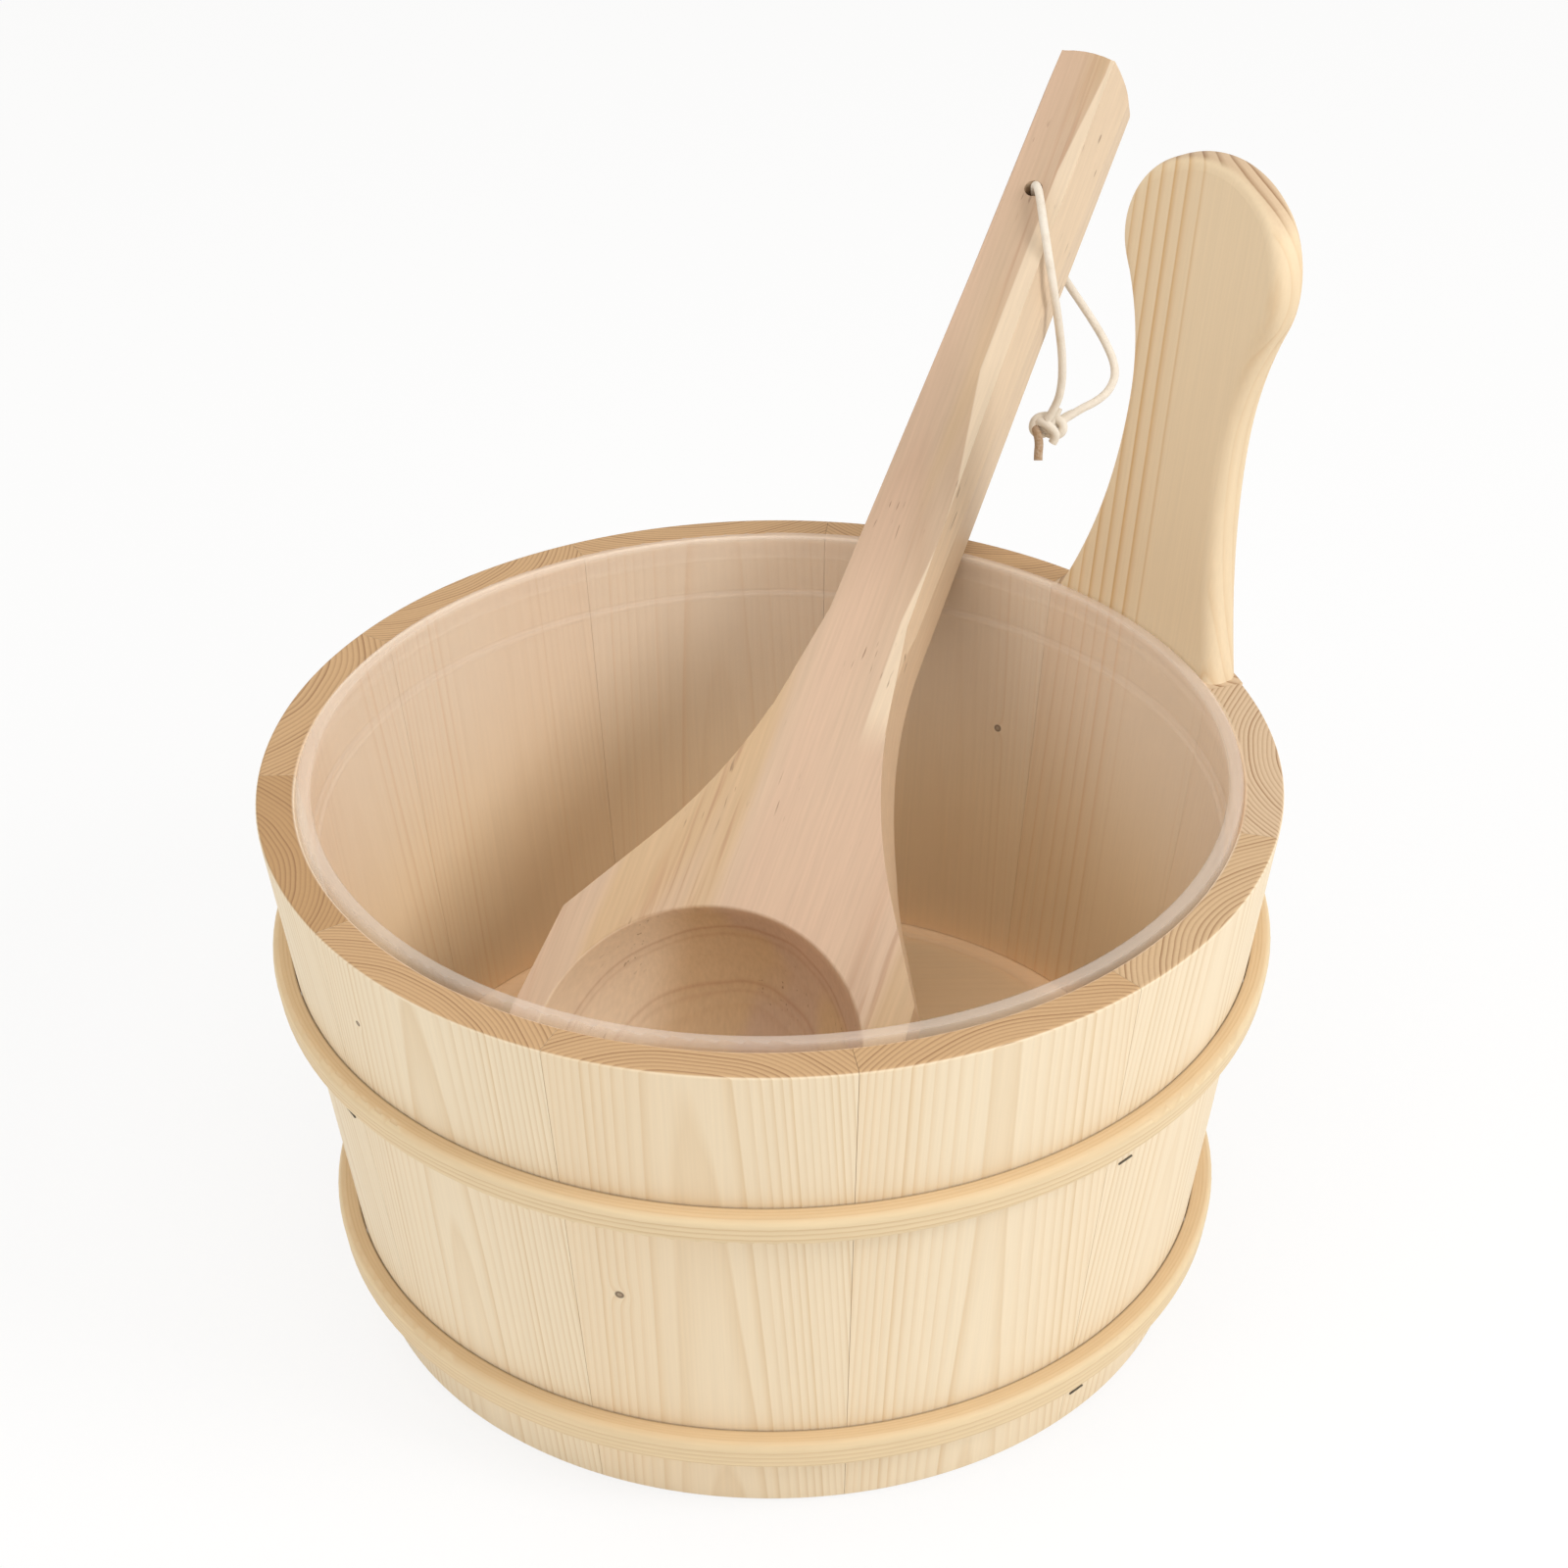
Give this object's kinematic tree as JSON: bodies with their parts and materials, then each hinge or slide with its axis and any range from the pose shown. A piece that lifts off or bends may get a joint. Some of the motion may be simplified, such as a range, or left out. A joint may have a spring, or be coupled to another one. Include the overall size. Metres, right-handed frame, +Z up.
{
  "type": "wooden piggin",
  "caption": "Stave-built wooden pail with one long stave as its paddle handle, bent wooden hoops, a plastic liner, and a wooden ladle with a thong loop leaning in it",
  "frame": {"origin": "on the pail's axis, at the plane that it stands on", "axes": "+Z up along the pail's axis, -Y towards the viewer of the picture, +X to the right; the paddle handle stands 33 degrees from +X towards +Y"},
  "size_m": [0.2548, 0.3459, 0.2683],
  "materials": {
    "stave_wood": "planed, untreated",
    "hoop_wood": "planed, untreated",
    "ladle_wood": "sanded, untreated",
    "liner_plastic": "frosted, translucent",
    "thong_cord": "soft cord"
  },
  "bodies": {
    "pail": {"handle_stave": "stave_wood", "stave_01": "stave_wood", "stave_02": "stave_wood", "stave_03": "stave_wood", "stave_04": "stave_wood", "stave_05": "stave_wood", "stave_06": "stave_wood", "stave_07": "stave_wood", "stave_08": "stave_wood", "stave_09": "stave_wood", "stave_10": "stave_wood", "bottom_board": "stave_wood", "upper_hoop": "hoop_wood", "lower_hoop": "hoop_wood"},
    "liner": {"liner": "liner_plastic"},
    "ladle": {"ladle": "ladle_wood", "thong": "thong_cord", "thong_knot": "thong_cord"}
  },
  "joints": [
    {"name": "liner_lift", "type": "slide", "parent": "pail", "child": "liner", "axis": [0, 0, 1], "range_m": [0, 0.125]},
    {"name": "ladle_lift", "type": "slide", "parent": "liner", "child": "ladle", "axis": [0, 0, 1], "range_m": [0, 0.14]}
  ]
}
